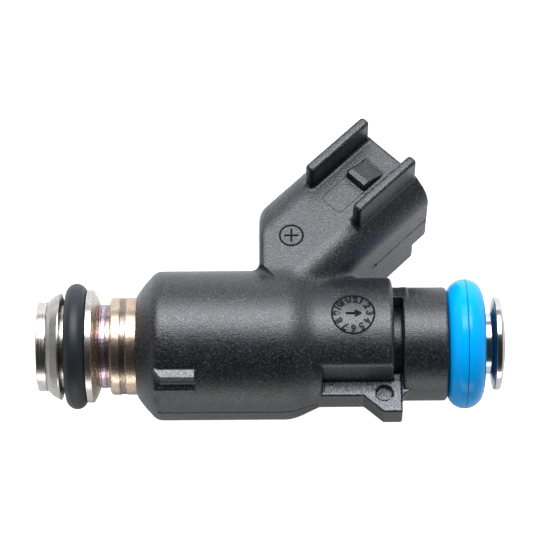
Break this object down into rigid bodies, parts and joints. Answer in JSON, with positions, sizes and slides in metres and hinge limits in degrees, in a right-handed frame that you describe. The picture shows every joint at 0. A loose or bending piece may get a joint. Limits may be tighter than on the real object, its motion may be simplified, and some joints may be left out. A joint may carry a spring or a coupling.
{
  "type": "fuel injector",
  "caption": "Top-feed port fuel injector: moulded body with a slanted two-blade connector and clip groove, seals at both ends, spring-closed ball valve inside.",
  "frame": {"origin": "centre of the spray opening in the nozzle's end face, on the injector's axis", "axes": "+Z along the injector's axis to the fuel inlet, +X to the side the connector leans to, +Y to the connector's latch"},
  "size_m": [0.0351, 0.0191, 0.0523],
  "materials": {
    "black_nylon": "satin glass-filled nylon",
    "stainless": "turned stainless steel",
    "tinted_steel": "stainless with heat tint from welding",
    "bright_steel": "polished steel",
    "magnet_steel": "soft magnetic steel",
    "blue_seal": "smooth fluorosilicone rubber",
    "black_seal": "satin rubber",
    "bobbin_nylon": "moulded nylon",
    "copper_wire": "enamelled copper wire",
    "tinned_brass": "tin-plated brass",
    "filter_plastic": "moulded nylon filter frame",
    "filter_cloth": "fine woven mesh"
  },
  "bodies": {
    "housing": {"overmold_body": "black_nylon", "inlet_tube": "bright_steel", "pole_piece": "magnet_steel", "adjusting_tube": "stainless", "return_spring": "bright_steel", "ball_guide": "stainless", "valve_seat": "stainless", "director_plate": "stainless", "tip_cap": "stainless", "valve_body": "stainless", "nonmagnetic_shell": "stainless", "coil_housing": "tinted_steel", "flux_washer": "magnet_steel", "coil_bobbin": "bobbin_nylon", "coil_winding": "copper_wire", "terminal_upper": "tinned_brass", "terminal_lower": "tinned_brass", "filter_frame": "filter_plastic", "filter_mesh": "filter_cloth", "lower_seal_retainer": "stainless", "lower_o_ring": "black_seal", "upper_o_ring": "blue_seal"},
    "valve": {"armature": "magnet_steel", "valve_tube": "stainless", "valve_ball": "bright_steel"}
  },
  "joints": [
    {"name": "valve_lift", "type": "slide", "parent": "housing", "child": "valve", "axis": [0, 0, 1], "range_m": [0, 0.0001], "stiffness_N_per_m": 2000, "deforming": ["return_spring"]}
  ]
}
